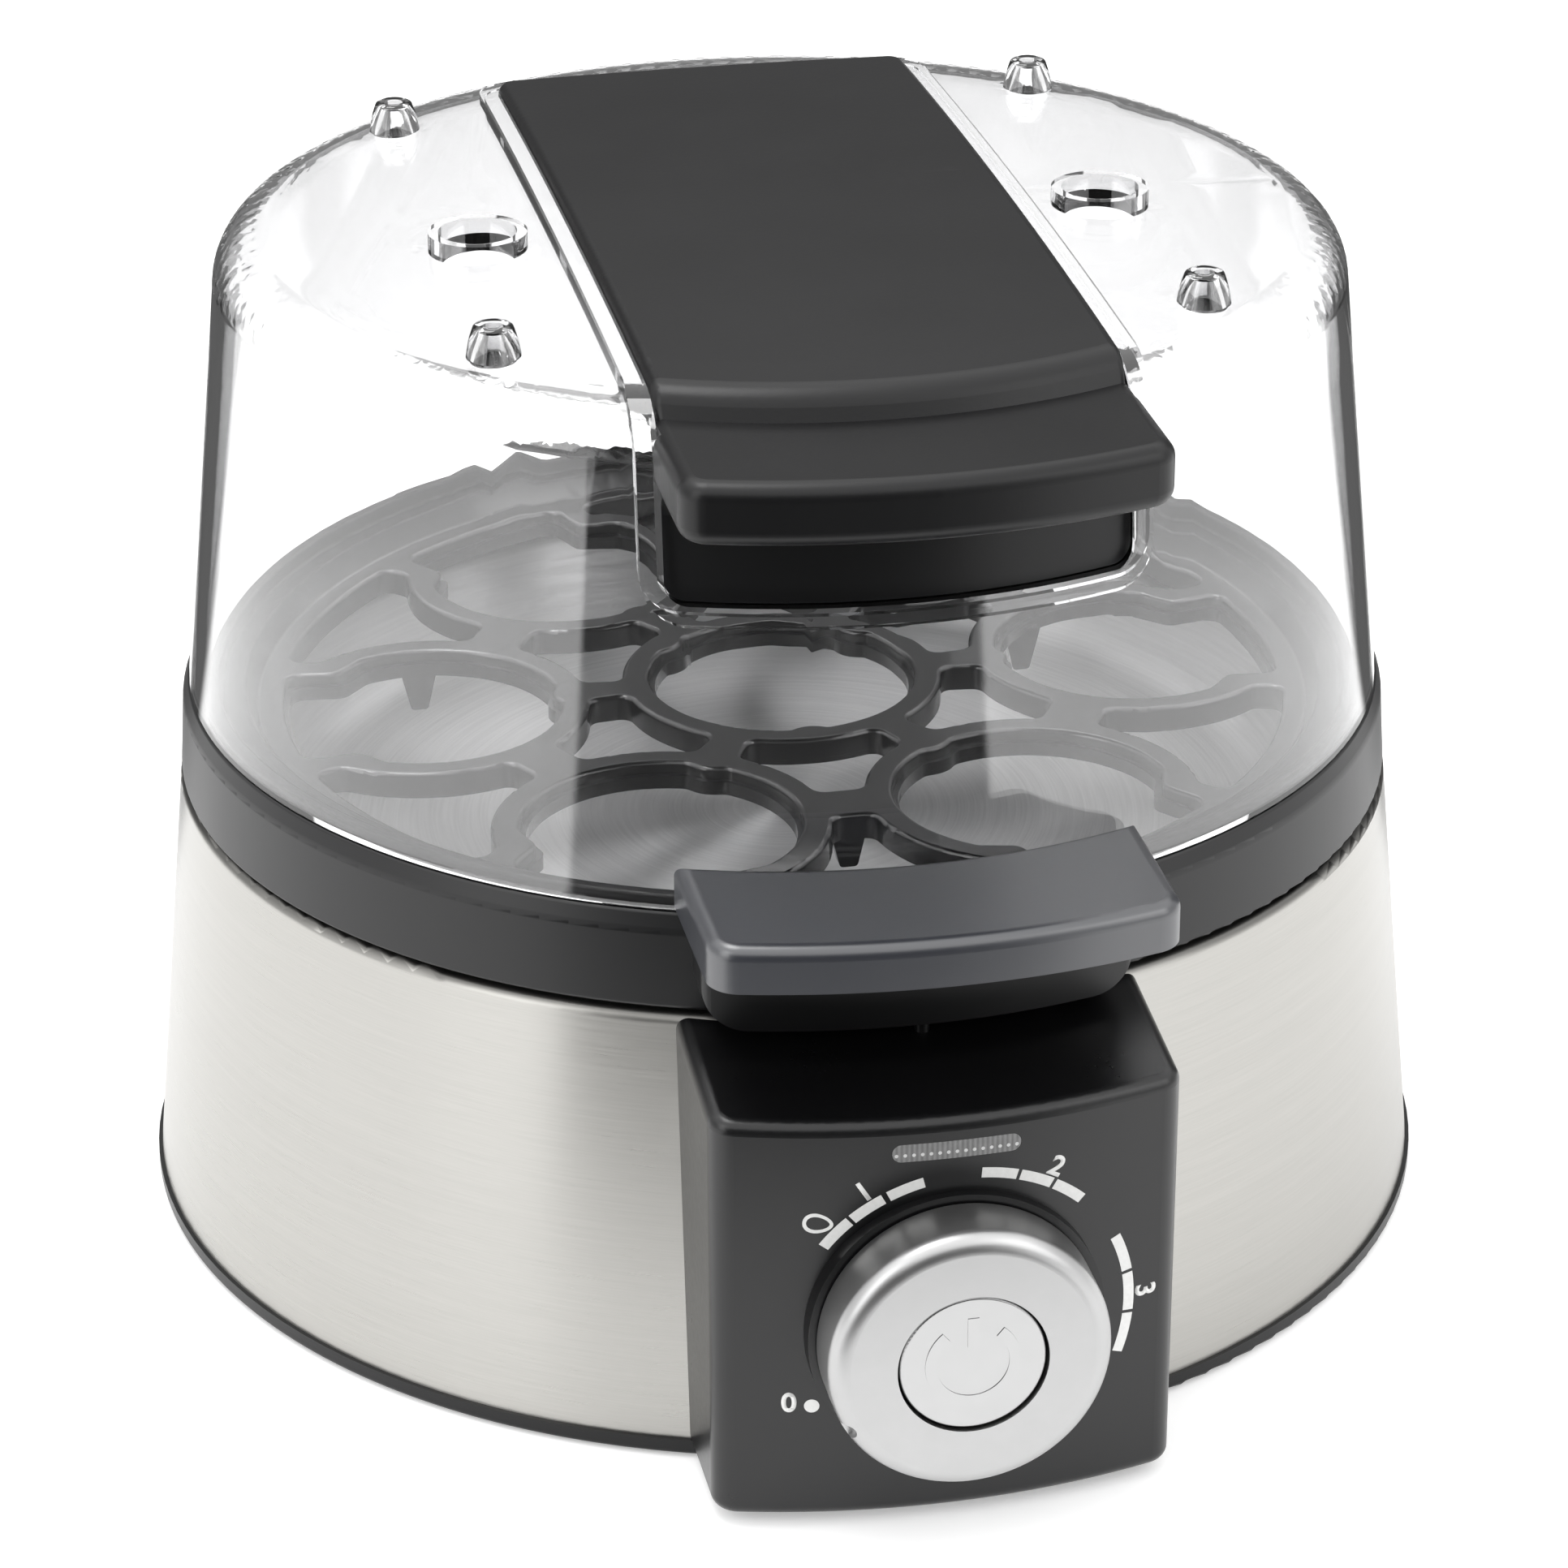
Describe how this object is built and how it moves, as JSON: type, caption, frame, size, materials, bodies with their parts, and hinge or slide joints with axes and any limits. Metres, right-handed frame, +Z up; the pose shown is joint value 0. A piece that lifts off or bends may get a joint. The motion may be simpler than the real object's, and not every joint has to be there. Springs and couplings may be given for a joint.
{
  "type": "egg boiler",
  "caption": "Electric egg boiler with a steel base, a lift-out egg carrier, a clear domed lid with a grip, a turning timer knob and a push button.",
  "frame": {"origin": "on the axis of the round base, at the level of the table that the pads stand on", "axes": "+Z up along the base's axis, -Y towards the control box and its knob, +X to the right of someone facing the knob"},
  "size_m": [0.2, 0.228, 0.1598],
  "materials": {
    "black_satin": "satin black moulded plastic",
    "black_gloss": "glossy black plastic",
    "rubber": "dark rubber",
    "zinc": "zinc-plated steel",
    "steel": "brushed stainless steel sheet",
    "pan_coating": "grey coated sheet, turned in circles",
    "aluminium": "cast aluminium",
    "element_steel": "heat-tinted steel",
    "ceramic_white": "white moulded plastic",
    "clear_lens": "clear ribbed plastic",
    "board_green": "green circuit board",
    "led_amber": "amber lamp",
    "knob_metal": "satin turned metal",
    "button_chrome": "polished metal",
    "clear_plastic": "clear smoked plastic"
  },
  "bodies": {
    "base": {"bottom_housing": "black_satin", "foot_pads": "rubber", "tie_screws": "zinc", "outer_shell": "steel", "pan_gasket": "rubber", "boiling_pan": "pan_coating", "heat_spreader": "aluminium", "heating_element": "element_steel", "element_terminals": "zinc", "pan_studs": "zinc", "thermostat": "ceramic_white", "temperature_sensor": "element_steel", "thermal_fuse": "zinc", "sensor_strap": "zinc", "cord_gland": "rubber", "control_box": "black_satin", "control_box_screws": "zinc", "indicator_lens": "clear_lens", "dial_bezel": "black_gloss", "circuit_board": "board_green", "board_screws": "zinc", "indicator_leds": "led_amber", "relay": "black_gloss", "terminal_block": "ceramic_white", "capacitor": "black_gloss", "buzzer": "black_gloss", "dial_sensor": "black_gloss", "sensor_nut": "zinc", "button_sleeve": "ceramic_white", "push_switch": "black_gloss"},
    "carrier": {"egg_carrier": "black_satin", "carrier_handle_front": "black_satin", "handle_screws": "zinc"},
    "lid": {"lid_dome": "clear_plastic", "lid_band": "black_satin", "band_screws": "zinc"},
    "knob": {"timer_knob": "knob_metal", "knob_hub": "black_gloss"},
    "button": {"start_button": "button_chrome", "button_stem": "ceramic_white", "switch_plunger": "ceramic_white"}
  },
  "joints": [
    {"name": "carrier_lift", "type": "slide", "parent": "base", "child": "carrier", "axis": [0, 0, 1], "range_m": [0, 0.06]},
    {"name": "lid_lift", "type": "slide", "parent": "carrier", "child": "lid", "axis": [0, 0, 1], "range_m": [0, 0.08]},
    {"name": "knob_turn", "type": "hinge", "parent": "base", "child": "knob", "pos_m": [0, -0.1225, 0.032], "axis": [0, 1, 0], "range_deg": [0, 228]},
    {"name": "button_press", "type": "slide", "parent": "base", "child": "button", "axis": [0, 1, 0], "range_m": [0, 0.0015], "stiffness_N_per_m": 600, "springref_m": -0.001}
  ]
}
